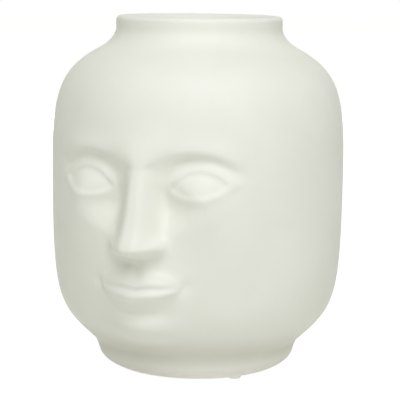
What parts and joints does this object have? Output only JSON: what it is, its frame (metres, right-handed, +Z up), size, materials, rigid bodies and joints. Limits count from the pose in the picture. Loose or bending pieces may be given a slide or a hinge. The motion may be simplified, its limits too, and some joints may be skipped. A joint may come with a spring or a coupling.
{
  "type": "ceramic vase",
  "caption": "Barrel-shaped ceramic vase with a short wide neck, a rounded foot and a calm face in relief on its front, standing on clear stick-on pads.",
  "frame": {"origin": "on the table, under the middle of the vase's bounding box, nose of the relief included", "axes": "+Z up along the axis of the vase, -Y the way the face looks, +X to the right of a viewer who faces it"},
  "size_m": [0.1724, 0.1904, 0.21],
  "materials": {
    "matte_ceramic": "matte",
    "clear_pad": "satin",
    "clear_adhesive": "satin"
  },
  "bodies": {
    "root": {"vase_body": "matte_ceramic", "foot_pad_1": "clear_pad", "foot_pad_2": "clear_pad", "foot_pad_3": "clear_pad", "pad_adhesive_1": "clear_adhesive", "pad_adhesive_2": "clear_adhesive", "pad_adhesive_3": "clear_adhesive"}
  },
  "joints": []
}
